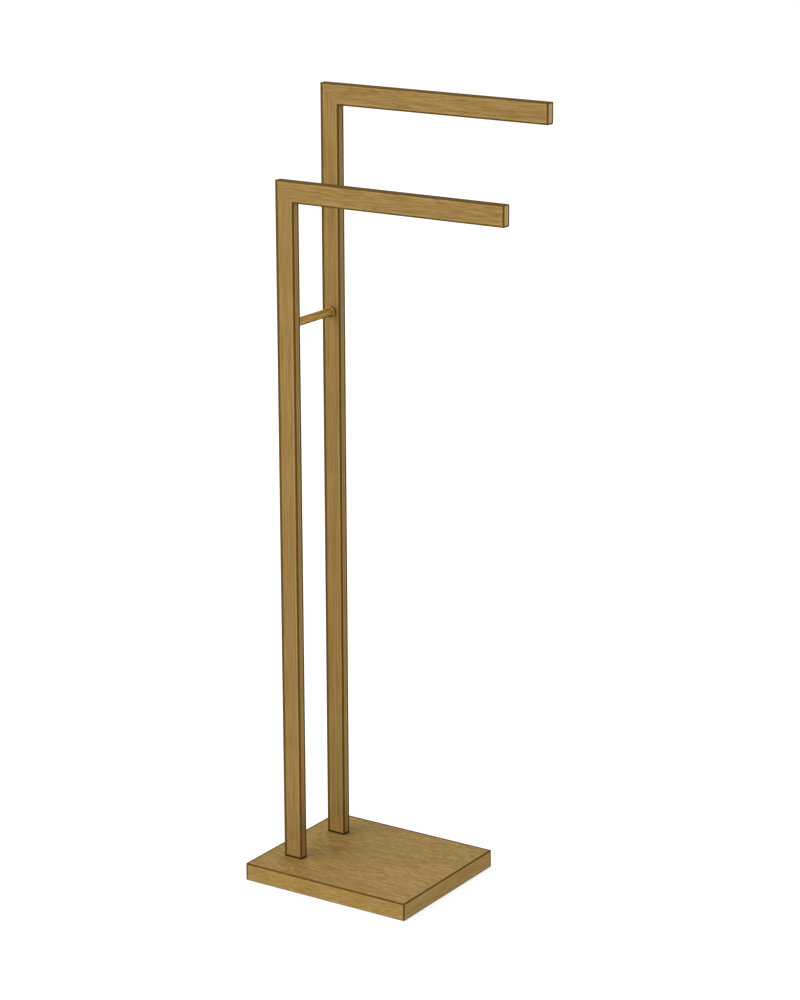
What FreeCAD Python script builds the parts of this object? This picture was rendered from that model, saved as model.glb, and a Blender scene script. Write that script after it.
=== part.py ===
import FreeCAD, Part
import math
import os

import Sketcher

# Freestanding towel stand: two L-shaped frames of flat tube on a weighted base.
#
# Millimetres. The origin is on the floor, under the middle of the base. +X runs from the posts along
# the arms, +Y from the front frame to the rear frame, and +Z up.

SIZES = {
    # whole stand, heights measured from the floor
    "overall_height": 760,
    "front_height": 680,
    "arm_length": 244,
    "frame_pitch": 74,
    "post_inset": 20,
    # flat tube of posts and arms
    "tube_width": 20,
    "tube_depth": 10,
    "tube_wall": 1.2,
    "tube_corner_radius": 1.2,
    # end caps of the arms
    "cap_thickness": 1.5,
    "cap_chamfer": 0.5,
    "cap_spigot_length": 5,
    "cap_gap": 0.1,
    # folded cover of the base
    "base_width": 182,
    "base_depth": 156,
    "base_height": 17,
    "base_sheet": 1.2,
    "base_corner_radius": 0.8,
    "base_edge_radius": 0.5,
    # rubber mat under the base
    "mat_thickness": 2.5,
    "mat_proud": 1.0,
    "mat_gap": 1.0,
    "mat_corner_radius": 4,
    "window_margin": 1,
    # cast ballast slab
    "ballast_gap": 0.5,
    "ballast_corner_radius": 3,
    "recess_depth": 8,
    "recess_gap": 1.0,
    # weld studs that carry the slab, with their washers and nuts
    "stud_inset": 22,
    "stud_diameter": 4,
    "stud_tail": 1.0,
    "stud_bore": 6.5,
    "counterbore_diameter": 12,
    "counterbore_depth": 6,
    "washer_diameter": 9,
    "washer_thickness": 0.8,
    "washer_gap": 0.15,
    "nut_flats": 7,
    "nut_height": 3.2,
    # foot joint of each post
    "block_height": 22,
    "block_gap": 0.1,
    "tapped_depth": 15,
    "plate_length": 20,
    "plate_width": 10,
    "plate_thickness": 1.5,
    "screw_pitch": 9,
    "screw_diameter": 4,
    "screw_length": 20,
    "screw_gap": 0.25,
    "thread_gap": 0.05,
    "head_diameter": 7,
    "head_height": 4,
    "socket_flats": 3,
    "socket_depth": 2,
    # crossbar and its joints
    "crossbar_height": 545,
    "crossbar_diameter": 8,
    "spigot_diameter": 5,
    "spigot_length": 6.5,
    "insert_diameter": 7,
    "insert_length": 7.4,
    "insert_flange": 0.5,
    "insert_gap": 0.05,
    "crimp_diameter": 9,
    "crimp_length": 1.6,
    "snap_diameter": 7.8,
    "collar_diameter": 10.5,
    "collar_thickness": 3,
    "collar_chamfer": 0.4,
    "collar_gap": 0.1,
}

# Places worked out from the sizes.
COVER_TOP = "(Sizes.mat_proud + Sizes.base_height)"
BALLAST_THICKNESS = f"({COVER_TOP} - Sizes.base_sheet - Sizes.mat_thickness)"
CORNER_X = "(Sizes.post_inset - Sizes.base_width / 2)"
POST_X = f"({CORNER_X} + Sizes.tube_width / 2)"
FRONT_Y = "(-Sizes.frame_pitch / 2)"
REAR_Y = "(Sizes.frame_pitch / 2)"
ARM_END_X = f"({CORNER_X} + Sizes.arm_length - Sizes.cap_thickness)"
BORE_WIDTH = "(Sizes.tube_width - 2 * Sizes.tube_wall)"
BORE_DEPTH = "(Sizes.tube_depth - 2 * Sizes.tube_wall)"
STUD_PITCH_X = "(Sizes.base_width - 2 * Sizes.stud_inset)"
STUD_PITCH_Y = "(Sizes.base_depth - 2 * Sizes.stud_inset)"
CLAMP_LEVEL = "(Sizes.mat_thickness + Sizes.recess_depth)"
RECESS_LENGTH = "(Sizes.plate_length + 2 * Sizes.recess_gap)"
RECESS_WIDTH = "(Sizes.plate_width + 2 * Sizes.recess_gap)"
SCREW_BORE = "(Sizes.screw_diameter + 2 * Sizes.screw_gap)"
THREAD_BORE = "(Sizes.screw_diameter + 2 * Sizes.thread_gap)"
NUT_LEVEL = "(Sizes.mat_thickness + Sizes.counterbore_depth - Sizes.washer_thickness)"
BAR_GAP = "(Sizes.frame_pitch - Sizes.tube_depth)"

X_ALONG_Z = FreeCAD.Rotation(FreeCAD.Vector(1, 0, -1), 180)
Z_TO_X = FreeCAD.Rotation(FreeCAD.Vector(0, 1, 0), 90)
Z_TO_Y = FreeCAD.Rotation(FreeCAD.Vector(1, 0, 0), -90)
Z_TO_MINUS_Y = FreeCAD.Rotation(FreeCAD.Vector(1, 0, 0), 90)

doc = FreeCAD.newDocument("TowelStand")
nodes = []


# ---------------------------------------------------------------- sheet, bodies and sketches


def write_sizes():
    """Put every driving dimension in the sheet under its own alias."""
    sheet = doc.addObject("Spreadsheet::Sheet", "Sizes")
    for row, (alias, value) in enumerate(SIZES.items(), start=1):
        sheet.set(f"A{row}", str(value))
        sheet.setAlias(f"A{row}", alias)
    doc.recompute()


def new_body(label, x="0", y="0", z="0", turned=FreeCAD.Rotation()):
    """A body of one sub-part, at its place in the stand."""
    body = doc.addObject("PartDesign::Body", label)
    body.Label = label
    body.Placement = FreeCAD.Placement(FreeCAD.Vector(), turned)
    body.setExpression("Placement.Base.x", x)
    body.setExpression("Placement.Base.y", y)
    body.setExpression("Placement.Base.z", z)
    nodes.append(body)
    return body


def datum(body, role):
    """One of the body's own origin planes or axes."""
    return next(item for item in body.Origin.OriginFeatures if item.Role == role)


def new_sketch(body, name, role="XY_Plane", **offset):
    """A sketch on one of the body's origin planes, moved by the offsets x, y and z."""
    sketch = body.newObject("Sketcher::SketchObject", name)
    sketch.AttachmentSupport = (datum(body, role), [""])
    sketch.MapMode = "FlatFace"
    for axis, distance in offset.items():
        sketch.setExpression(f"AttachmentOffset.Base.{axis}", distance)
    return sketch


def number(sketch, text):
    return float(sketch.evalExpression(text))


def constrain(sketch, kind, *where, value=None):
    """Add a constraint, bound to an expression where it holds a size."""
    if value is None:
        sketch.addConstraint(Sketcher.Constraint(kind, *where))
        return
    index = sketch.addConstraint(Sketcher.Constraint(kind, *where, number(sketch, value)))
    sketch.setExpression(f"Constraints[{index}]", value)


def pin(sketch, geometry, point, x, y):
    """Hold one point of a line or circle at x, y from the sketch's origin."""
    constrain(sketch, "DistanceX", -1, 1, geometry, point, value=x)
    constrain(sketch, "DistanceY", -1, 1, geometry, point, value=y)


def draw_polygon(sketch, corners):
    """Close straight lines through corners given as pairs of expressions."""
    points = [FreeCAD.Vector(number(sketch, x), number(sketch, y), 0) for x, y in corners]
    first = sketch.GeometryCount
    count = len(corners)
    for index, point in enumerate(points):
        sketch.addGeometry(Part.LineSegment(point, points[(index + 1) % count]), False)
    for index in range(count):
        constrain(sketch, "Coincident", first + index, 2, first + (index + 1) % count, 1)
    for index, (x, y) in enumerate(corners):
        pin(sketch, first + index, 1, x, y)


def draw_rectangle(sketch, width, depth):
    """A rectangle about the sketch's origin."""
    signs = [(1, 1), (-1, 1), (-1, -1), (1, -1)]
    draw_polygon(sketch, [(f"{x} * {width} / 2", f"{y} * {depth} / 2") for x, y in signs])


def draw_hexagon(sketch, flats):
    """A hexagon about the sketch's origin, given the size across its flats."""
    angles = [60 * index for index in range(6)]
    radius = f"{flats} / sqrt(3)"
    draw_polygon(sketch, [(f"{radius} * cos({a} deg)", f"{radius} * sin({a} deg)") for a in angles])


def draw_circle(sketch, diameter, x="0", y="0"):
    centre = FreeCAD.Vector(number(sketch, x), number(sketch, y), 0)
    up = FreeCAD.Vector(0, 0, 1)
    geometry = sketch.addGeometry(Part.Circle(centre, up, number(sketch, diameter) / 2), False)
    constrain(sketch, "Diameter", geometry, value=diameter)
    pin(sketch, geometry, 3, x, y)


def draw_rounded_rectangle(sketch, width, depth, radius):
    """A rectangle with round corners about the sketch's origin.

    The four arcs are held by their centres and share one radius; four tangent lines close the outline.
    """
    first = sketch.GeometryCount
    round_off = number(sketch, radius)
    half_x = number(sketch, width) / 2 - round_off
    half_y = number(sketch, depth) / 2 - round_off
    signs = [(1, 1), (-1, 1), (-1, -1), (1, -1)]
    quarter = math.pi / 2
    for index, (side_x, side_y) in enumerate(signs):
        centre = FreeCAD.Vector(side_x * half_x, side_y * half_y, 0)
        circle = Part.Circle(centre, FreeCAD.Vector(0, 0, 1), round_off)
        sketch.addGeometry(Part.ArcOfCircle(circle, index * quarter, (index + 1) * quarter), False)
    arcs = [sketch.Geometry[first + index] for index in range(4)]
    for index in range(4):
        line = Part.LineSegment(arcs[index].EndPoint, arcs[(index + 1) % 4].StartPoint)
        sketch.addGeometry(line, False)
    for index, (side_x, side_y) in enumerate(signs):
        constrain(sketch, "Tangent", first + index, 2, first + 4 + index, 1)
        constrain(sketch, "Tangent", first + 4 + index, 2, first + (index + 1) % 4, 1)
        pin(sketch, first + index, 3, f"{side_x} * ({width} / 2 - {radius})",
            f"{side_y} * ({depth} / 2 - {radius})")
    constrain(sketch, "Radius", first, value=radius)


def draw_slot(sketch, width, pitch):
    """A slot along X about the sketch's origin, with half-round ends whose centres are pitch apart."""
    first = sketch.GeometryCount
    radius = number(sketch, width) / 2
    for index, side in enumerate([1, -1]):
        centre = FreeCAD.Vector(side * number(sketch, pitch) / 2, 0, 0)
        circle = Part.Circle(centre, FreeCAD.Vector(0, 0, 1), radius)
        start = (index - 0.5) * math.pi
        sketch.addGeometry(Part.ArcOfCircle(circle, start, start + math.pi), False)
    ends = [sketch.Geometry[first + index] for index in range(2)]
    for index in range(2):
        line = Part.LineSegment(ends[index].EndPoint, ends[1 - index].StartPoint)
        sketch.addGeometry(line, False)
    for index, side in enumerate("+-"):
        constrain(sketch, "Tangent", first + index, 2, first + 2 + index, 1)
        constrain(sketch, "Tangent", first + 2 + index, 2, first + 1 - index, 1)
        pin(sketch, first + index, 3, f"{side}{pitch} / 2", "0")
    constrain(sketch, "Radius", first, value=f"{width} / 2")


# ---------------------------------------------------------------- features


def pad(body, sketch, length, downwards=False):
    feature = body.newObject("PartDesign::Pad", "Pad")
    feature.Profile = sketch
    feature.Reversed = downwards
    feature.setExpression("Length", length)
    doc.recompute()
    return feature


def revolve(body, sketch):
    """Turn a profile about the upright axis of its sketch."""
    feature = body.newObject("PartDesign::Revolution", "Turning")
    feature.Profile = sketch
    feature.ReferenceAxis = (sketch, ["V_Axis"])
    feature.Angle = 360
    doc.recompute()
    return feature


def pocket(body, sketch, length=None, along_normal=True):
    """Cut a sketch out of the body, right through both ways where no length is given."""
    before = body.Shape.Volume
    feature = body.newObject("PartDesign::Pocket", "Pocket")
    feature.Profile = sketch
    feature.Reversed = along_normal
    if length is None:
        feature.Type = "ThroughAll"
        feature.Midplane = True
    else:
        feature.setExpression("Length", length)
    doc.recompute()
    if body.Shape.Volume >= before:
        raise RuntimeError(f"{body.Label}: the pocket cuts nothing")
    return feature


def drill(body, sketch, diameter, depth=None, counterbore=None):
    """Bore up from the sketch, right through or to a flat depth, with an optional (diameter, depth) step."""
    before = body.Shape.Volume
    feature = body.newObject("PartDesign::Hole", "Hole")
    feature.Profile = sketch
    doc.recompute()
    feature.Reversed = True
    feature.setExpression("Diameter", diameter)
    if depth is None:
        feature.DepthType = "ThroughAll"
    else:
        feature.DepthType = "Dimension"
        feature.DrillPoint = "Flat"
        feature.setExpression("Depth", depth)
    if counterbore:
        feature.HoleCutType = "Counterbore"
        feature.HoleCutCustomValues = True
        feature.setExpression("HoleCutDiameter", counterbore[0])
        feature.setExpression("HoleCutDepth", counterbore[1])
    doc.recompute()
    if body.Shape.Volume >= before:
        raise RuntimeError(f"{body.Label}: the drill cuts nothing")
    return feature


def dress_edges(body, kind, size, level):
    """Fillet or chamfer the edges that lie whole at one named height of the body's own frame."""
    base = body.Tip
    height = SIZES[level]
    boxes = [edge.BoundBox for edge in base.Shape.Edges]
    flat = [abs(box.ZMin - height) + abs(box.ZMax - height) < 1e-6 for box in boxes]
    names = [f"Edge{index}" for index, chosen in enumerate(flat, start=1) if chosen]
    feature = body.newObject(f"PartDesign::{kind}", kind)
    feature.Base = (base, names)
    feature.setExpression({"Fillet": "Radius", "Chamfer": "Size"}[kind], size)
    doc.recompute()
    return feature


def row(body, feature, pitch):
    """Two copies of a feature along X, pitch apart."""
    pattern = body.newObject("PartDesign::LinearPattern", "Row")
    pattern.Originals = [feature]
    pattern.Direction = (datum(body, "X_Axis"), [""])
    pattern.setExpression("Length", pitch)
    pattern.Occurrences = 2
    body.Tip = pattern
    doc.recompute()
    return pattern


def grid(body, feature, pitch_x, pitch_y):
    """Four copies of a feature at the corners of a rectangle, the first at its lowest corner."""
    pattern = row(body, feature, pitch_x)
    pattern.Direction2 = (datum(body, "Y_Axis"), [""])
    pattern.setExpression("Length2", pitch_y)
    pattern.Occurrences2 = 2
    doc.recompute()
    return pattern


# ---------------------------------------------------------------- base


def foot_joint_places():
    """Centres of the two posts' feet."""
    return [(POST_X, FRONT_Y), (POST_X, REAR_Y)]


def cut_screw_slot(body, x="0", y="0"):
    """Cut the slot that one post's two foot screws pass through."""
    slot = new_sketch(body, "ScrewSlot", x=x, y=y)
    draw_slot(slot, SCREW_BORE, "Sizes.screw_pitch")
    pocket(body, slot)


def build_cover():
    """Tray of folded sheet, open below, with its corner seams welded and ground round."""
    body = new_body("base_cover", z="Sizes.mat_proud")
    outside = new_sketch(body, "CoverOutline")
    draw_rounded_rectangle(outside, "Sizes.base_width", "Sizes.base_depth", "Sizes.base_corner_radius")
    pad(body, outside, "Sizes.base_height")
    dress_edges(body, "Fillet", "Sizes.base_edge_radius", "base_height")
    inside = new_sketch(body, "CoverInside")
    sheets = "2 * Sizes.base_sheet"
    draw_rectangle(inside, f"(Sizes.base_width - {sheets})", f"(Sizes.base_depth - {sheets})")
    pocket(body, inside, "Sizes.base_height - Sizes.base_sheet")
    for x, y in foot_joint_places():
        cut_screw_slot(body, x, y)


def build_ballast():
    """Cast slab, with a recess and a slot for each pair of foot screws and four counterbored stud holes."""
    body = new_body("base_ballast", z="Sizes.mat_thickness")
    outline = new_sketch(body, "SlabOutline")
    margin = "2 * (Sizes.base_sheet + Sizes.ballast_gap)"
    draw_rounded_rectangle(
        outline,
        f"(Sizes.base_width - {margin})",
        f"(Sizes.base_depth - {margin})",
        "Sizes.ballast_corner_radius",
    )
    pad(body, outline, BALLAST_THICKNESS)
    for x, y in foot_joint_places():
        recess = new_sketch(body, "FootRecess", x=x, y=y)
        draw_rectangle(recess, RECESS_LENGTH, RECESS_WIDTH)
        pocket(body, recess, "Sizes.recess_depth")
        cut_screw_slot(body, x, y)
    corners = new_sketch(body, "StudHoles")
    for x in "-+":
        for y in "-+":
            draw_circle(corners, "Sizes.stud_bore", f"{x}{STUD_PITCH_X} / 2", f"{y}{STUD_PITCH_Y} / 2")
    drill(
        body,
        corners,
        "Sizes.stud_bore",
        counterbore=("Sizes.counterbore_diameter", "Sizes.counterbore_depth"),
    )


def first_stud(body, name):
    """A sketch at the stud nearest to the front left corner of the base."""
    return new_sketch(body, name, x=f"-{STUD_PITCH_X} / 2", y=f"-{STUD_PITCH_Y} / 2")


def build_studs():
    """Four weld studs that hang from the underside of the cover's top and end just below their nuts."""
    body = new_body("base_studs", z=f"{NUT_LEVEL} - Sizes.nut_height - Sizes.stud_tail")
    shank = first_stud(body, "StudShank")
    draw_circle(shank, "Sizes.stud_diameter")
    length = f"{COVER_TOP} - Sizes.base_sheet - ({NUT_LEVEL} - Sizes.nut_height - Sizes.stud_tail)"
    grid(body, pad(body, shank, length), STUD_PITCH_X, STUD_PITCH_Y)


def build_stud_washers():
    body = new_body("base_stud_washers", z=NUT_LEVEL)
    ring = first_stud(body, "WasherRing")
    draw_circle(ring, "Sizes.washer_diameter")
    draw_circle(ring, "Sizes.stud_diameter + 2 * Sizes.washer_gap")
    grid(body, pad(body, ring, "Sizes.washer_thickness"), STUD_PITCH_X, STUD_PITCH_Y)


def build_stud_nuts():
    body = new_body("base_stud_nuts", z=f"{NUT_LEVEL} - Sizes.nut_height")
    hexagon = first_stud(body, "NutHexagon")
    draw_hexagon(hexagon, "Sizes.nut_flats")
    draw_circle(hexagon, "Sizes.stud_diameter + 2 * Sizes.thread_gap")
    grid(body, pad(body, hexagon, "Sizes.nut_height"), STUD_PITCH_X, STUD_PITCH_Y)


def build_mat():
    """Rubber mat that stands a little proud of the cover, with a window under each post."""
    body = new_body("anti_slip_mat")
    outline = new_sketch(body, "MatOutline")
    margin = "2 * (Sizes.base_sheet + Sizes.mat_gap)"
    draw_rounded_rectangle(
        outline,
        f"(Sizes.base_width - {margin})",
        f"(Sizes.base_depth - {margin})",
        "Sizes.mat_corner_radius",
    )
    pad(body, outline, "Sizes.mat_thickness")
    for x, y in foot_joint_places():
        window = new_sketch(body, "MatWindow", x=x, y=y)
        draw_rectangle(
            window,
            f"({RECESS_LENGTH} + 2 * Sizes.window_margin)",
            f"({RECESS_WIDTH} + 2 * Sizes.window_margin)",
        )
        pocket(body, window)


# ---------------------------------------------------------------- frames


def draw_tube_section(sketch):
    draw_rounded_rectangle(sketch, "Sizes.tube_width", "Sizes.tube_depth", "Sizes.tube_corner_radius")
    draw_rectangle(sketch, BORE_WIDTH, BORE_DEPTH)


def build_mitred_tube(body, length):
    """Tube along the body's Z, whose far end is cut at 45 degrees and is longest at low X."""
    section = new_sketch(body, "TubeSection")
    draw_tube_section(section)
    pad(body, section, length)
    mitre = new_sketch(body, "Mitre", "XZ_Plane")
    half = "Sizes.tube_width / 2"
    draw_polygon(mitre, [(f"-{half}", length), (half, length), (half, f"{length} - Sizes.tube_width")])
    pocket(body, mitre)


def build_post(label, y, top, hole_in_back):
    """Upright tube with its mitre at the top and a hole for the crossbar's insert in one wide wall."""
    length = f"({top} - {COVER_TOP})"
    body = new_body(label, POST_X, y, COVER_TOP)
    build_mitred_tube(body, length)
    hole = new_sketch(body, "InsertHole", "XZ_Plane")
    bore = "Sizes.insert_diameter + 2 * Sizes.insert_gap"
    draw_circle(hole, bore, y=f"Sizes.crossbar_height - {COVER_TOP}")
    pocket(body, hole, "Sizes.tube_depth", along_normal=not hole_in_back)


def build_arm(label, y, top):
    """Level tube whose free end takes the cap and whose mitred end meets the post."""
    length = "(Sizes.arm_length - Sizes.cap_thickness)"
    body = new_body(label, ARM_END_X, y, f"{top} - Sizes.tube_width / 2", X_ALONG_Z)
    build_mitred_tube(body, length)


def build_arm_cap(label, y, top):
    """Plate in the tube's outline, with a spigot that locates it in the bore."""
    body = new_body(label, ARM_END_X, y, f"{top} - Sizes.tube_width / 2", Z_TO_X)
    plate = new_sketch(body, "CapPlate")
    draw_rounded_rectangle(plate, "Sizes.tube_width", "Sizes.tube_depth", "Sizes.tube_corner_radius")
    pad(body, plate, "Sizes.cap_thickness")
    dress_edges(body, "Chamfer", "Sizes.cap_chamfer", "cap_thickness")
    spigot = new_sketch(body, "CapSpigot")
    draw_rectangle(spigot, f"({BORE_WIDTH} - 2 * Sizes.cap_gap)", f"({BORE_DEPTH} - 2 * Sizes.cap_gap)")
    pad(body, spigot, "Sizes.cap_spigot_length", downwards=True)


def build_foot_block(label, y):
    """Steel block welded in the post's foot, drilled and tapped from below for two screws."""
    body = new_body(label, POST_X, y, COVER_TOP)
    outline = new_sketch(body, "BlockOutline")
    draw_rectangle(outline, f"({BORE_WIDTH} - 2 * Sizes.block_gap)", f"({BORE_DEPTH} - 2 * Sizes.block_gap)")
    pad(body, outline, "Sizes.block_height")
    tapped = new_sketch(body, "TappedHoles")
    for side in "-+":
        draw_circle(tapped, THREAD_BORE, f"{side}Sizes.screw_pitch / 2")
    drill(body, tapped, THREAD_BORE, "Sizes.tapped_depth")


def build_clamp_plate(label, y):
    """Pressure plate between the screw heads and the ballast."""
    body = new_body(label, POST_X, y, f"{CLAMP_LEVEL} - Sizes.plate_thickness")
    outline = new_sketch(body, "PlateOutline")
    draw_rectangle(outline, "Sizes.plate_length", "Sizes.plate_width")
    pad(body, outline, "Sizes.plate_thickness")
    cut_screw_slot(body)


def build_foot_screws(label, y):
    """Two socket-head screws, heads down, whose threads rise through the base into the foot block."""
    body = new_body(label, f"{POST_X} - Sizes.screw_pitch / 2", y, f"{CLAMP_LEVEL} - Sizes.plate_thickness")
    profile = new_sketch(body, "ScrewProfile", "XZ_Plane")
    draw_polygon(profile, [
        ("0", "-Sizes.head_height"),
        ("Sizes.head_diameter / 2", "-Sizes.head_height"),
        ("Sizes.head_diameter / 2", "0"),
        ("Sizes.screw_diameter / 2", "0"),
        ("Sizes.screw_diameter / 2", "Sizes.screw_length"),
        ("0", "Sizes.screw_length"),
    ])
    turned = revolve(body, profile)
    socket = new_sketch(body, "HexSocket", z="-Sizes.head_height")
    draw_hexagon(socket, "Sizes.socket_flats")
    cut = pocket(body, socket, "Sizes.socket_depth")
    pattern = row(body, turned, "Sizes.screw_pitch")
    pattern.Originals = [turned, cut]
    doc.recompute()


# ---------------------------------------------------------------- crossbar


def build_crossbar():
    """Round bar between the posts, with a turned-down spigot at each end."""
    half = f"({BAR_GAP} / 2 - Sizes.insert_flange)"
    tip = f"({half} + Sizes.spigot_length)"
    body = new_body("crossbar_rod", POST_X, "0", "Sizes.crossbar_height", Z_TO_Y)
    profile = new_sketch(body, "BarProfile", "XZ_Plane")
    narrow = "Sizes.spigot_diameter / 2"
    draw_polygon(profile, [
        ("0", f"-{tip}"),
        (narrow, f"-{tip}"),
        (narrow, f"-{half}"),
        ("Sizes.crossbar_diameter / 2", f"-{half}"),
        ("Sizes.crossbar_diameter / 2", half),
        (narrow, half),
        (narrow, tip),
        ("0", tip),
    ])
    revolve(body, profile)


def build_wall_bush(label, y, turned, behind_wall):
    """Flanged bush in a post's wall. Its Z points into the post, where behind_wall gives its outline."""
    body = new_body(label, POST_X, y, "Sizes.crossbar_height", turned)
    profile = new_sketch(body, "BushProfile", "XZ_Plane")
    bore = "(Sizes.spigot_diameter / 2 + Sizes.thread_gap)"
    draw_polygon(profile, [
        (bore, "-Sizes.insert_flange"),
        ("Sizes.crossbar_diameter / 2", "-Sizes.insert_flange"),
        ("Sizes.crossbar_diameter / 2", "0"),
        ("Sizes.insert_diameter / 2", "0"),
        ("Sizes.insert_diameter / 2", "Sizes.tube_wall"),
        *behind_wall,
        (bore, "Sizes.insert_length"),
    ])
    revolve(body, profile)


def build_insert():
    """Threaded insert in the front post, crimped behind the wall."""
    crimp_end = "Sizes.tube_wall + Sizes.crimp_length"
    build_wall_bush("crossbar_insert", f"-{BAR_GAP} / 2", Z_TO_MINUS_Y, [
        ("Sizes.crimp_diameter / 2", "Sizes.tube_wall"),
        ("Sizes.crimp_diameter / 2", crimp_end),
        ("Sizes.insert_diameter / 2", crimp_end),
        ("Sizes.insert_diameter / 2", "Sizes.insert_length"),
    ])


def build_bush():
    """Plastic bush in the rear post, wider behind the wall so that it snaps in."""
    build_wall_bush("crossbar_bush", f"{BAR_GAP} / 2", Z_TO_Y, [
        ("Sizes.snap_diameter / 2", "Sizes.tube_wall"),
        ("Sizes.snap_diameter / 2", "Sizes.insert_length"),
    ])


def build_collar(label, y, turned):
    """Turned ring round the bar's end. Its Z points away from the post."""
    body = new_body(label, POST_X, y, "Sizes.crossbar_height", turned)
    profile = new_sketch(body, "CollarProfile", "XZ_Plane")
    bore = "(Sizes.crossbar_diameter / 2 + Sizes.collar_gap)"
    rim = "Sizes.collar_diameter / 2"
    draw_polygon(profile, [
        (bore, "0"),
        (rim, "0"),
        (rim, "Sizes.collar_thickness - Sizes.collar_chamfer"),
        (f"{rim} - Sizes.collar_chamfer", "Sizes.collar_thickness"),
        (bore, "Sizes.collar_thickness"),
    ])
    revolve(body, profile)


# ---------------------------------------------------------------- the stand


def build_frame(side, y, top, hole_in_back):
    """One L-shaped frame, its foot joint and its arm's cap."""
    build_post(f"{side}_post", y, top, hole_in_back)
    build_arm(f"{side}_arm", y, top)
    build_arm_cap(f"{side}_arm_cap", y, top)
    build_foot_block(f"{side}_foot_block", y)
    build_clamp_plate(f"{side}_clamp_plate", y)
    build_foot_screws(f"{side}_foot_screws", y)


def check_document():
    for item in doc.Objects:
        if {"Invalid", "Error"} & set(item.State):
            raise RuntimeError(f"{item.Label}: {item.State}")
    for node in nodes:
        if node.Shape.isNull() or not node.Shape.isValid():
            raise RuntimeError(f"{node.Label}: bad shape")


write_sizes()
build_cover()
build_ballast()
build_studs()
build_stud_washers()
build_stud_nuts()
build_mat()
build_frame("front", FRONT_Y, "Sizes.front_height", True)
build_frame("rear", REAR_Y, "Sizes.overall_height", False)
build_crossbar()
build_insert()
build_bush()
build_collar("front_collar", f"-{BAR_GAP} / 2", Z_TO_Y)
build_collar("rear_collar", f"{BAR_GAP} / 2", Z_TO_MINUS_Y)
doc.recompute()
check_document()

os.makedirs("parts", exist_ok=True)
for node in nodes:
    node.Shape.exportStep(f"parts/{node.Label}.step")
    print(node.Label, len(node.Shape.Solids), round(node.Shape.Volume, 1))
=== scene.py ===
"""Freestanding towel stand: its finishes, its studio and the photograph's camera.

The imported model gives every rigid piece. This script dresses each piece, in metres and in the model's own
frame: +X along the arms, +Y from the front frame to the rear frame, +Z up.
"""

import logging
from dataclasses import dataclass, field, replace
from enum import Enum
from math import radians

import bpy
from mathutils import Matrix, Vector


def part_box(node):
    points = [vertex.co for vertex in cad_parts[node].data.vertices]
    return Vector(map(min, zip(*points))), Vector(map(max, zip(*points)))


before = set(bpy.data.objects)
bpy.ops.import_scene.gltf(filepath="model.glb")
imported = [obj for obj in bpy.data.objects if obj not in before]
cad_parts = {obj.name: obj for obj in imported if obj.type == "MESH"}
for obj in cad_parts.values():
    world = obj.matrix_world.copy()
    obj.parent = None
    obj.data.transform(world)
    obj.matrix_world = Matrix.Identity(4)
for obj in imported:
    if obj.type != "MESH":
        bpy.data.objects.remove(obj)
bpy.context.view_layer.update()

MM = 0.001
Socket = bpy.types.NodeSocket
Box = tuple[Vector, Vector]
Colour = tuple[float, float, float]
Cell = tuple[float, float, float]

log = logging.getLogger("towel_stand")


class Axis(Enum):
    """A direction of brushing, as the place of its coordinate."""

    X = 0
    Y = 1
    Z = 2


class Side(Enum):
    """The two L-shaped frames."""

    FRONT = "front"
    REAR = "rear"


@dataclass(frozen=True)
class Ramp:
    """A smooth step from low to high, while what it reads goes from start to end."""

    start: float
    end: float
    low: float = 0.0
    high: float = 1.0

    def times(self, factor: float) -> "Ramp":
        """Scale what the ramp gives."""
        return replace(self, low=self.low * factor, high=self.high * factor)


# Where the ramps of the bronze start and end: in a noise's own numbers, or in millimetres from a face or
# past a dark line.
NOISE_RANGE = Ramp(0.3, 0.7)
END_FACE = Ramp(0.3, 0.6, 1.0, 0.0)
CAP_FACE = Ramp(0.2, 0.5, 1.0, 0.0)
# Painted shade on the arms' top faces, broken up a little by the brush marks.
TOP_SHADE_RAMP = Ramp(0.3, 0.7, 1.0, 0.0)
TOP_SHADE_BREAKUP = Ramp(0.35, 0.75, 1.0, 0.85)
# The dark edge lines are painted shade.
LINE = Ramp(-0.35, 0.35, 1.0, 0.0)
RAGGED_LINE = replace(NOISE_RANGE, low=-0.15, high=0.15)
# A painted highlight just past each dark line, kept off the left faces.
HIGHLIGHT_RISE = Ramp(0.0, 0.4)
HIGHLIGHT_FALL = Ramp(0.7, 1.6, 1.0, 0.0)
HIGHLIGHT_AWAY_FROM_LEFT = Ramp(4.0, 8.0)
# The dark joint at the posts' feet, partly painted contact shadow, and painted light above it against the
# base's shade.
FOOT_JOINT_SHADE = Ramp(1.0, 1.7, 0.9, 0.0)
FOOT_PAINTED_LIGHT = Ramp(2.0, 26.0, 0.35, 0.0)
# Painted shade along the bar's underside.
ROD_UNDER_SHADE = Ramp(1.4, 3.0, 0.85, 0.0)
SLOW_PATCHES = replace(NOISE_RANGE, low=0.4, high=0.6)
BROAD_MARKS = Ramp(0.32, 0.68, -0.275, 0.275)
FINE_MARKS = replace(NOISE_RANGE, low=-0.225, high=0.225)
PALE_FLECKS = Ramp(0.62, 0.74)
DARK_FLECKS = Ramp(0.26, 0.37, 0.6, 0.0)

# Sizes of the bronze's noises, and how soft the bar's rear line is, in millimetres. The slow wave is given
# by its waves a millimetre, and the fine scratches by their share of the broad marks' size.
PATCH_CELL = (42.0, 42.0, 42.0)
RAGGED_CELL = (6.0, 6.0, 6.0)
FLECK_CELL = (7.0, 2.6, 1.6)
WAVES_PER_MM = 0.045
FINE_SHARE = 0.36
# The bar's rear line is painted shade.
BAR_LINE_SOFTNESS = 0.2

# How matt the painted shade of the dark edge lines is beside the metal.
SHADE_LINE_ROUGHNESS = 0.8
SHADE_LINE_SHEEN = 0.03
ROUGHNESS_SPREAD = 0.05

# The grain of the plain finishes.
MOTTLE_RANGE = Ramp(0.35, 0.65)
GRAINS_A_PATCH = 12
GRAIN_SPREAD = 0.06


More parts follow.
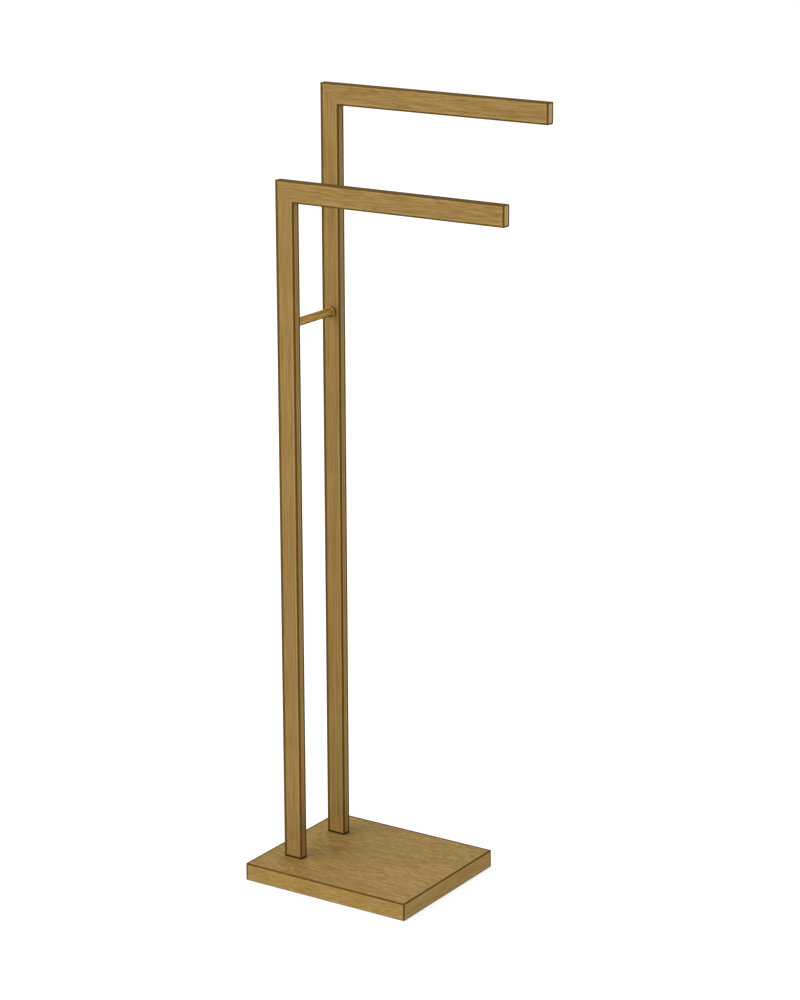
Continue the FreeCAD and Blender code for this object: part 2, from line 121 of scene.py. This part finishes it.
class Shader:
    """A material's node tree, with one short method for each kind of node."""

    def __init__(self, name: str) -> None:
        """Start an empty material.

        Args:
            name: The material's name.
        """
        self.material = bpy.data.materials.new(name)
        self.material.use_nodes = True
        self.tree = self.material.node_tree
        self.tree.nodes.clear()

    def add(self, kind: str, **settings: object) -> bpy.types.Node:
        """Add a node and set its options.

        Args:
            kind: The node's type, without its ShaderNode prefix.
            settings: The node's options by name.

        Returns:
            The new node.
        """
        node = self.tree.nodes.new("ShaderNode" + kind)
        for option, value in settings.items():
            setattr(node, option, value)
        return node

    def feed(self, socket: Socket, value: object) -> None:
        """Link a socket or set its constant.

        Args:
            socket: The input that takes the value.
            value: An output socket, a number, a vector or a colour.
        """
        if isinstance(value, Socket):
            self.tree.links.new(value, socket)
        elif isinstance(value, tuple) and len(value) == 3 and socket.type == "RGBA":
            socket.default_value = (*value, 1.0)
        else:
            socket.default_value = value

    def math(self, operation: str, *values: object) -> Socket:
        """Work out one number from up to three.

        Args:
            operation: The Math node's operation.
            values: Its inputs in order.

        Returns:
            The result's socket.
        """
        node = self.add("Math", operation=operation)
        for socket, value in zip(node.inputs, values):
            self.feed(socket, value)
        return node.outputs[0]

    def vector(self, operation: str, *values: object) -> Socket:
        """Work out one vector.

        Args:
            operation: The Vector Math node's operation.
            values: Its vectors in order.

        Returns:
            The result's socket.
        """
        node = self.add("VectorMath", operation=operation)
        for socket, value in zip(node.inputs, values):
            self.feed(socket, value)
        return node.outputs[0]

    def fade(self, value: Socket, ramp: Ramp) -> Socket:
        """Turn one range of a number smoothly into another.

        Args:
            value: The number.
            ramp: Both ranges.

        Returns:
            The result's socket.
        """
        node = self.add("MapRange", interpolation_type="SMOOTHSTEP")
        for socket, number in zip(node.inputs, (value, ramp.start, ramp.end, ramp.low, ramp.high)):
            self.feed(socket, number)
        return node.outputs[0]

    def blend(self, factor: object, first: object, second: object) -> Socket:
        """Mix two colours.

        Args:
            factor: Share of the second colour.
            first: The first colour.
            second: The second colour.

        Returns:
            The mixed colour's socket.
        """
        node = self.add("Mix", data_type="RGBA", blend_type="MIX")
        for label, value in (("Factor_Float", factor), ("A_Color", first), ("B_Color", second)):
            socket = next(item for item in node.inputs if item.identifier == label)
            self.feed(socket, value)
        return next(item for item in node.outputs if item.identifier == "Result_Color")

    def noise(self, place: Socket, size: Cell, detail: float) -> Socket:
        """Read a noise whose cells have the given size along each axis.

        Args:
            place: The position in millimetres.
            size: The cells' size in millimetres along X, Y and Z.
            detail: The noise's octaves past the first.

        Returns:
            A number about one half.
        """
        stretched = self.vector("MULTIPLY", place, tuple(1.0 / length for length in size))
        node = self.add("TexNoise")
        self.feed(node.inputs["Vector"], stretched)
        self.feed(node.inputs["Scale"], 1.0)
        self.feed(node.inputs["Detail"], detail)
        return node.outputs["Fac"]

    def place(self) -> Socket:
        """Give the position on the object in millimetres."""
        here = self.add("TexCoord").outputs["Object"]
        return self.vector("MULTIPLY", here, (1 / MM,) * 3)

    def surface(self, colour: object, roughness: object, normal: Socket | None, **others: object) -> None:
        """Finish the material with its Principled shader.

        Args:
            colour: Base colour.
            roughness: Roughness.
            normal: Bumped normal, or None.
            others: Other inputs by name, with underscores for spaces.
        """
        shader = self.add("BsdfPrincipled")
        self.feed(shader.inputs["Base Color"], colour)
        self.feed(shader.inputs["Roughness"], roughness)
        if normal is not None:
            self.feed(shader.inputs["Normal"], normal)
        for label, value in others.items():
            self.feed(shader.inputs[label.replace("_", " ")], value)
        output = self.add("OutputMaterial")
        self.feed(output.inputs["Surface"], shader.outputs[0])

    def bump(self, height: Socket, depth: float) -> Socket:
        """Raise the surface by a height.

        Args:
            height: A number from 0 to 1.
            depth: What one unit of height is, in metres.

        Returns:
            The bumped normal.
        """
        node = self.add("Bump")
        node.inputs["Distance"].default_value = depth
        self.feed(node.inputs["Height"], height)
        return node.outputs["Normal"]


@dataclass(frozen=True)
class Marks:
    """Brush marks on a member: how large they are in millimetres along X, Y and Z, and how they show.

    The sway is how far they bend, in millimetres. The flecks and the end_rub go from 0 to 1.
    """

    cell: Cell
    end_cell: Cell
    end: Axis
    sway: float
    contrast: float
    flecks: float = 0.0
    end_rub: float = 0.0


@dataclass(frozen=True)
class Edges:
    """How far the painted shade line reaches in from each low and high face of a member, in millimetres.

    The edge highlight is painted: how pale the metal is beside the lines, from 0 to 1.
    """

    low: Cell
    high: Cell
    edge_highlight: float


@dataclass(frozen=True)
class BrushedBronze:
    """Antique bronze, brushed along a member, with dark matt lines of painted shade along its rounded
    edges.
    """

    light: Colour = (0.249, 0.157, 0.053)
    dark: Colour = (0.182, 0.109, 0.030)
    # Pale tone of the end faces and the pale flecks, also used for the painted highlight beside the edge
    # lines and the painted light at the posts' feet.
    pale_tone_and_painted_light: Colour = (0.400, 0.264, 0.104)
    # Dark flecks of the brushing, and the painted shade of the edge lines, the top faces and the bar's rear
    # end and underside.
    dark_fleck_and_painted_shade: Colour = (0.090, 0.049, 0.011)
    # Dark joint at a post's foot, partly the joint's own colour and partly painted contact shadow.
    joint_and_contact_shade: Colour = (0.016, 0.009, 0.003)
    grazing: tuple[float, float, float, float] = (0.79, 0.67, 0.52, 1.0)
    metallic: float = 0.5
    sheen: float = 0.1
    roughness: float = 0.5
    scratch_depth: float = 0.004 * MM

    def material(
        self, name: str, box: Box, marks: Marks, edges: Edges, painted_top_shade: float = 0.0, foot: bool = False
    ) -> bpy.types.Material:
        """Make the finish for a member whose outside fills a box.

        Args:
            name: The material's name.
            box: The member's lowest and highest corners, in metres.
            marks: Its brush marks.
            edges: How far its dark edge lines of painted shade reach.
            painted_top_shade: How dark the top face stays, from 0 to 1.
            foot: Whether the low end stands on the base: a dark joint, partly painted shadow, with painted
                light above.

        Returns:
            The material.
        """
        shader = Shader(name)
        place = shader.place()
        to_low, to_high = self._to_faces(shader, place, box)
        ends = shader.math("MINIMUM", to_low[marks.end.value], to_high[marks.end.value])
        broad, fine = self._flow(shader, place, ends, marks)
        colour = self._colour(shader, place, broad, fine, marks)
        if marks.end_rub:
            on_cap = shader.fade(to_high[marks.end.value], CAP_FACE.times(marks.end_rub))
            colour = shader.blend(on_cap, colour, self.pale_tone_and_painted_light)
        # Painted light: the post made paler just above its foot, against the shade the base casts.
        if foot:
            colour = shader.blend(shader.fade(to_low[2], FOOT_PAINTED_LIGHT), colour, self.pale_tone_and_painted_light)
        past = self._past_line(shader, place, to_low, to_high, edges)
        # Painted highlight: a pale strip just past each dark line, faded out near the left faces.
        highlight_band = shader.math(
            "MULTIPLY", shader.fade(past, HIGHLIGHT_RISE), shader.fade(past, HIGHLIGHT_FALL.times(edges.edge_highlight))
        )
        highlight_band = shader.math("MULTIPLY", highlight_band, shader.fade(to_low[0], HIGHLIGHT_AWAY_FROM_LEFT))
        colour = shader.blend(highlight_band, colour, self.pale_tone_and_painted_light)
        # Painted shade: a dark line along each edge of the member.
        line = shader.fade(past, LINE)
        # Painted shade: the top face kept dark, broken up a little by the broad brush marks.
        if painted_top_shade:
            on_top = shader.fade(to_high[2], TOP_SHADE_RAMP.times(painted_top_shade))
            top_shade_mask = shader.math("MULTIPLY", on_top, shader.fade(broad, TOP_SHADE_BREAKUP))
            line = shader.math("MAXIMUM", line, top_shade_mask)
        colour = shader.blend(line, colour, self.dark_fleck_and_painted_shade)
        # A dark joint line at the foot, partly painted contact shadow.
        if foot:
            colour = shader.blend(shader.fade(to_low[2], FOOT_JOINT_SHADE), colour, self.joint_and_contact_shade)
        self._finish(shader, colour, line, fine)
        return shader.material

    def round_material(self, name: str, box: Box, marks: Marks, rear_line: float) -> bpy.types.Material:
        """Make the finish for a turned piece, with painted shade round its rear end and along its
        underside.

        Args:
            name: The material's name.
            box: The piece's lowest and highest corners, in metres.
            marks: Its brush marks.
            rear_line: Width of the painted shade line round the piece's rear end, in millimetres.

        Returns:
            The material.
        """
        shader = Shader(name)
        place = shader.place()
        to_low, to_high = self._to_faces(shader, place, box)
        broad, fine = self._flow(shader, place, to_high[marks.end.value], marks)
        colour = self._colour(shader, place, broad, fine, marks)
        # Painted shade: a dark line round the rear end and darker towards the underside.
        rear = Ramp(rear_line - BAR_LINE_SOFTNESS, rear_line + BAR_LINE_SOFTNESS, 1.0, 0.0)
        line = shader.math("MAXIMUM", shader.fade(to_high[1], rear), shader.fade(to_low[2], ROD_UNDER_SHADE))
        self._finish(shader, shader.blend(line, colour, self.dark_fleck_and_painted_shade), line, fine)
        return shader.material

    def _finish(self, shader: Shader, colour: Socket, line: Socket, fine: Socket) -> None:
        """Shade the metal, and the painted shade of its dark lines as a matt coat.

        Args:
            shader: The material's nodes.
            colour: The colour of both.
            line: Where the painted shade lies, from 0 to 1.
            fine: The fine scratches.
        """
        spread = replace(
            NOISE_RANGE, low=self.roughness - ROUGHNESS_SPREAD, high=self.roughness + ROUGHNESS_SPREAD
        )
        matt = shader.math("MULTIPLY", line, SHADE_LINE_ROUGHNESS)
        metal = shader.math("MULTIPLY", shader.math("SUBTRACT", 1.0, line), self.metallic)
        shader.surface(
            colour,
            shader.math("MAXIMUM", shader.fade(fine, spread), matt),
            shader.bump(fine, self.scratch_depth),
            Metallic=metal,
            Specular_IOR_Level=shader.fade(line, Ramp(0.0, 1.0, self.sheen, SHADE_LINE_SHEEN)),
            Specular_Tint=self.grazing,
        )

    def _to_faces(self, shader: Shader, place: Socket, box: Box) -> tuple[list[Socket], list[Socket]]:
        """Measure how far a point is inside each of the box's six faces.

        Args:
            shader: The material's nodes.
            place: The point in millimetres.
            box: The box's lowest and highest corners, in metres.

        Returns:
            The distances from the three low faces and from the three high faces, in millimetres.
        """
        low, high = (corner / MM for corner in box)
        split = shader.add("SeparateXYZ")
        shader.feed(split.inputs[0], place)
        to_low = [shader.math("SUBTRACT", split.outputs[axis], low[axis]) for axis in range(3)]
        to_high = [shader.math("SUBTRACT", high[axis], split.outputs[axis]) for axis in range(3)]
        return to_low, to_high

    def _past_line(
        self, shader: Shader, place: Socket, to_low: list[Socket], to_high: list[Socket], edges: Edges
    ) -> Socket:
        """Measure how far past the nearest edge's painted shade line a point lies.

        Each line's width is taken from its face's distance, and of the three that are left the middle one
        belongs to the nearest edge, because a point on the surface is at no depth below its own face.

        Args:
            shader: The material's nodes.
            place: The point in millimetres.
            to_low: Distances from the low faces.
            to_high: Distances from the high faces.
            edges: The widths of the painted shade lines.

        Returns:
            A slightly ragged distance in millimetres, below zero on the line.
        """
        first, second, third = (
            shader.math(
                "MINIMUM",
                shader.math("SUBTRACT", to_low[axis], edges.low[axis]),
                shader.math("SUBTRACT", to_high[axis], edges.high[axis]),
            )
            for axis in range(3)
        )
        smaller = shader.math("MINIMUM", first, second)
        larger = shader.math("MAXIMUM", first, second)
        middle = shader.math("MAXIMUM", smaller, shader.math("MINIMUM", larger, third))
        ragged = shader.fade(shader.noise(place, RAGGED_CELL, 3.0), RAGGED_LINE)
        return shader.math("ADD", middle, ragged)

    def _flow(self, shader: Shader, place: Socket, from_end: Socket, marks: Marks) -> tuple[Socket, Socket]:
        """Read the broad marks and the fine scratches of the brushing.

        A slow noise bends both by up to the sway. It stays within one half of its middle, so it's doubled.

        Args:
            shader: The material's nodes.
            place: The point in millimetres.
            from_end: Distance from the nearer face that the marks meet end on.
            marks: The brush marks.

        Returns:
            The broad marks and the fine scratches, each about one half.
        """
        wave = shader.add("TexNoise")
        shader.feed(wave.inputs["Vector"], shader.vector("MULTIPLY", place, (WAVES_PER_MM,) * 3))
        shader.feed(wave.inputs["Scale"], 1.0)
        centred = shader.vector("SUBTRACT", wave.outputs["Color"], (0.5,) * 3)
        bent = shader.vector("ADD", place, shader.vector("MULTIPLY", centred, (2.0 * marks.sway,) * 3))
        on_end = shader.fade(from_end, END_FACE)
        layers = []
        for share, detail in ((1.0, 1.0), (FINE_SHARE, 2.0)):
            along, across = (
                shader.noise(bent, tuple(share * length for length in cell), detail)
                for cell in (marks.cell, marks.end_cell)
            )
            kept = shader.math("MULTIPLY", along, shader.math("SUBTRACT", 1.0, on_end))
            layers.append(shader.math("MULTIPLY_ADD", across, on_end, kept))
        return layers[0], layers[1]

    def _colour(self, shader: Shader, place: Socket, broad: Socket, fine: Socket, marks: Marks) -> Socket:
        """Lay the light and dark brush marks, slow patches and flecks.

        Args:
            shader: The material's nodes.
            place: The point in millimetres.
            broad: The broad marks.
            fine: The fine scratches.
            marks: The brush marks' contrast and flecks.

        Returns:
            The colour.
        """
        slow = shader.fade(shader.noise(place, PATCH_CELL, 1.0), SLOW_PATCHES)
        coarse = shader.fade(broad, BROAD_MARKS.times(marks.contrast))
        thin = shader.fade(fine, FINE_MARKS.times(marks.contrast))
        tone = shader.math("ADD", slow, shader.math("ADD", coarse, thin))
        colour = self._shade(shader, tone)
        if marks.flecks:
            specks = shader.noise(place, FLECK_CELL, 1.0)
            for ramp, fleck in ((PALE_FLECKS, self.pale_tone_and_painted_light), (DARK_FLECKS, self.dark_fleck_and_painted_shade)):
                colour = shader.blend(shader.fade(specks, ramp.times(marks.flecks)), colour, fleck)
        return colour

    def _shade(self, shader: Shader, tone: Socket) -> Socket:
        """Turn a tone into a colour.

        Args:
            shader: The material's nodes.
            tone: 0 for the dark mark and 1 for the light one. It may go past both.

        Returns:
            The colour.
        """
        step = tuple(light - dark for light, dark in zip(self.light, self.dark))
        scaled = shader.add("VectorMath", operation="SCALE")
        shader.feed(scaled.inputs[0], step)
        shader.feed(scaled.inputs["Scale"], tone)
        return shader.vector("ADD", scaled.outputs[0], self.dark)


@dataclass(frozen=True)
class PlainFinish:
    """A finish of one colour with grain, mottling and a fine bump.

    The mottle is the colour's spread, the grain is in millimetres and the depth in metres.
    """

    colour: Colour
    mottle: float
    roughness: float
    grain: float
    depth: float
    metallic: float = 0.0

    def material(self, name: str) -> bpy.types.Material:
        """Make the finish.

        Args:
            name: The material's name.

        Returns:
            The material.
        """
        shader = Shader(name)
        place = shader.place()
        cells = shader.noise(place, (self.grain,) * 3, 4.0)
        patches = shader.noise(place, (self.grain * GRAINS_A_PATCH,) * 3, 2.0)
        dark = tuple(part * (1.0 - self.mottle) for part in self.colour)
        light = tuple(min(1.0, part * (1.0 + self.mottle)) for part in self.colour)
        mixed = shader.math("MULTIPLY_ADD", cells, 0.5, shader.math("MULTIPLY", patches, 0.5))
        colour = shader.blend(shader.fade(mixed, MOTTLE_RANGE), dark, light)
        spread = replace(NOISE_RANGE, low=self.roughness - GRAIN_SPREAD, high=self.roughness + GRAIN_SPREAD)
        roughness = shader.fade(cells, spread)
        shader.surface(colour, roughness, shader.bump(cells, self.depth), Metallic=self.metallic)
        return shader.material


ZINC = PlainFinish((0.56, 0.57, 0.56), 0.12, 0.36, 0.5, 0.004 * MM, 1.0)
CAST_IRON = PlainFinish((0.035, 0.035, 0.038), 0.35, 0.72, 0.9, 0.05 * MM)
RUBBER = PlainFinish((0.016, 0.016, 0.017), 0.3, 0.82, 0.6, 0.03 * MM)
NYLON = PlainFinish((0.72, 0.7, 0.62), 0.05, 0.5, 0.4, 0.006 * MM)


def dress(node: str, material: bpy.types.Material) -> None:
    """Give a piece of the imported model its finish.

    Args:
        node: The piece's name.
        material: Its finish.
    """
    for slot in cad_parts[node].material_slots:
        slot.material = material
    log.info("dressed %s in %s", node, material.name)


@dataclass
class Base:
    """The weighted base: a folded cover round a cast slab, on a rubber mat."""

    bronze: BrushedBronze = BrushedBronze(
        light=(0.288, 0.184, 0.057), dark=(0.212, 0.130, 0.031), metallic=0.35, sheen=0.2, roughness=0.6
    )
    marks: Marks = Marks((28.0, 2.7, 0.8), (2.7, 28.0, 0.8), Axis.X, sway=2.2, contrast=1.7, flecks=0.6)
    edges: Edges = Edges((2.2, 1.4, 0.5), (1.4, 2.8, 1.4), 0.15)

    def dress_cover(self) -> None:
        """Brush the cover along the arms on top and along each side."""
        cover = self.bronze.material("brushed_cover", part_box("base_cover"), self.marks, self.edges)
        dress("base_cover", cover)

    def dress_inside(self) -> None:
        """Finish the slab, its fixings and the mat."""
        dress("base_ballast", CAST_IRON.material("cast_slab"))
        dress("anti_slip_mat", RUBBER.material("mat_rubber"))
        zinc = ZINC.material("base_zinc")
        for node in ("base_studs", "base_stud_washers", "base_stud_nuts"):
            dress(node, zinc)

    def build(self) -> None:
        """Dress the whole base."""
        self.dress_cover()
        self.dress_inside()


@dataclass
class LFrame:
    """One post with its arm, the arm's cap and the joint in its foot."""

    side: Side
    bronze: BrushedBronze = BrushedBronze()
    post_marks: Marks = Marks((1.5, 1.5, 60.0), (30.0, 1.5, 1.5), Axis.Z, sway=0.5, contrast=1.2)
    arm_marks: Marks = Marks(
        (26.0, 1.2, 1.2), (1.4, 1.4, 14.0), Axis.X, sway=1.2, contrast=1.7, end_rub=0.9
    )
    post_edges: Edges = Edges((3.3, 1.8, 2.2), (1.5, 3.1, 1.5), 0.4)
    arm_edges: Edges = Edges((2.7, 1.4, 1.8), (1.4, 2.6, 1.1), 0.25)
    # How dark the arm's top face is painted as shade, from 0 to 1.
    painted_top_shade: float = 1.0

    def node(self, piece: str) -> str:
        """Name one of this frame's pieces."""
        return f"{self.side.value}_{piece}"

    def arm_box(self) -> Box:
        """Give the box of the arm with its cap, which share one ground surface.

        Returns:
            Its lowest and highest corners, in metres.
        """
        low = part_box(self.node("arm"))[0]
        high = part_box(self.node("arm_cap"))[1]
        return low, high

    def dress_tubes(self) -> None:
        """Brush the post upwards and the arm and its cap along the arm."""
        post_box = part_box(self.node("post"))
        post = self.bronze.material(
            self.node("post_brushed"), post_box, self.post_marks, self.post_edges, foot=True
        )
        dress(self.node("post"), post)
        arm = self.bronze.material(
            self.node("arm_brushed"), self.arm_box(), self.arm_marks, self.arm_edges, self.painted_top_shade
        )
        dress(self.node("arm"), arm)
        dress(self.node("arm_cap"), arm)

    def dress_foot(self) -> None:
        """Finish the screws, the plate and the tapped block that hold the post down."""
        zinc = ZINC.material(self.node("foot_zinc"))
        for piece in ("foot_block", "clamp_plate", "foot_screws"):
            dress(self.node(piece), zinc)

    def build(self) -> None:
        """Dress the whole frame."""
        self.dress_tubes()
        self.dress_foot()


@dataclass
class Crossbar:
    """The round bar between the posts, its two collars and what holds it."""

    bronze: BrushedBronze = BrushedBronze(
        light=(0.390, 0.232, 0.054), dark=(0.225, 0.122, 0.020), metallic=0.35, sheen=0.2, roughness=0.45
    )
    marks: Marks = Marks((1.3, 22.0, 1.3), (1.2, 1.2, 6.0), Axis.Y, sway=0.4, contrast=1.8)
    # Widths of the painted shade line round each piece's rear end, in millimetres.
    rear_lines: tuple[tuple[str, float], ...] = (
        ("crossbar_rod", 0.0),
        ("front_collar", 0.3),
        ("rear_collar", 0.9),
    )

    def build(self) -> None:
        """Dress the bar, its collars, the insert and the bush."""
        for node, line in self.rear_lines:
            dress(node, self.bronze.round_material(f"{node}_brushed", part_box(node), self.marks, line))
        dress("crossbar_insert", ZINC.material("insert_zinc"))
        dress("crossbar_bush", NYLON.material("bush_nylon"))


@dataclass
class Studio:
    """Pale floor, even light from all round, one soft key light and the photograph's camera."""

    floor_size: float = 80.0
    floor_drop: float = 0.1 * MM
    floor_colour: Colour = (0.35, 0.35, 0.35)
    floor_roughness: float = 0.9
    floor_sheen: float = 0.1
    floor_light: float = 0.72
    sky: float = 1.04
    key_power: float = 205.0
    key_size: float = 4.0
    key_place: Vector = field(default_factory=lambda: Vector((-2.4, -3.2, 2.8)))
    key_aim: Vector = field(default_factory=lambda: Vector((-0.8, -1.2, 0.0)))
    focal_pixels: float = 3003.1
    long_side: float = 1000.0
    sensor: float = 36.0
    eye: Vector = field(default_factory=lambda: Vector((1.5061, -2.2476, 1.1513)))
    yaw: float = 33.170
    pitch: float = 15.961
    roll: float = -0.180

    def build_floor(self) -> None:
        """Lay the floor just under the mat, so that the two don't share a plane."""
        bpy.ops.mesh.primitive_plane_add(size=self.floor_size, location=(0, 0, -self.floor_drop))
        floor = bpy.context.object
        floor.name = "floor"
        shader = Shader("pale_floor")
        shader.surface(
            self.floor_colour,
            self.floor_roughness,
            None,
            Specular_IOR_Level=self.floor_sheen,
            Emission_Color=(1.0, 1.0, 1.0, 1.0),
            Emission_Strength=self.floor_light,
        )
        floor.data.materials.append(shader.material)

    def build_light(self) -> None:
        """Set the even surrounding light and the soft key light."""
        world = bpy.data.worlds.new("studio")
        bpy.context.scene.world = world
        world.use_nodes = True
        background = world.node_tree.nodes["Background"]
        background.inputs["Color"].default_value = (1.0, 1.0, 1.0, 1.0)
        background.inputs["Strength"].default_value = self.sky
        lamp = bpy.data.lights.new("key", "AREA")
        lamp.size = self.key_size
        lamp.energy = self.key_power
        key = bpy.data.objects.new("key", lamp)
        key.location = self.key_place
        aim = self.key_aim - self.key_place
        key.rotation_euler = aim.to_track_quat("-Z", "Y").to_euler()
        bpy.context.scene.collection.objects.link(key)

    def build_camera(self) -> None:
        """Put the camera where the photograph was taken from."""
        data = bpy.data.cameras.new("camera")
        data.sensor_width = self.sensor
        data.lens = self.focal_pixels * self.sensor / self.long_side
        camera = bpy.data.objects.new("camera", data)
        turn = (
            Matrix.Rotation(radians(self.yaw), 4, "Z")
            @ Matrix.Rotation(radians(90.0 - self.pitch), 4, "X")
            @ Matrix.Rotation(radians(self.roll), 4, "Z")
        )
        camera.matrix_world = Matrix.Translation(self.eye) @ turn
        bpy.context.scene.collection.objects.link(camera)
        bpy.context.scene.camera = camera

    def build(self) -> None:
        """Set up the floor, the light, the camera and plain colour handling."""
        self.build_floor()
        self.build_light()
        self.build_camera()
        bpy.context.scene.view_settings.view_transform = "Standard"


def main() -> None:
    """Dress the stand piece by piece and set up its studio."""
    logging.basicConfig(level=logging.INFO, format="%(name)s: %(message)s")
    Base().build()
    LFrame(Side.FRONT).build()
    LFrame(Side.REAR).build()
    Crossbar().build()
    Studio().build()


if __name__ == "__main__":
    main()
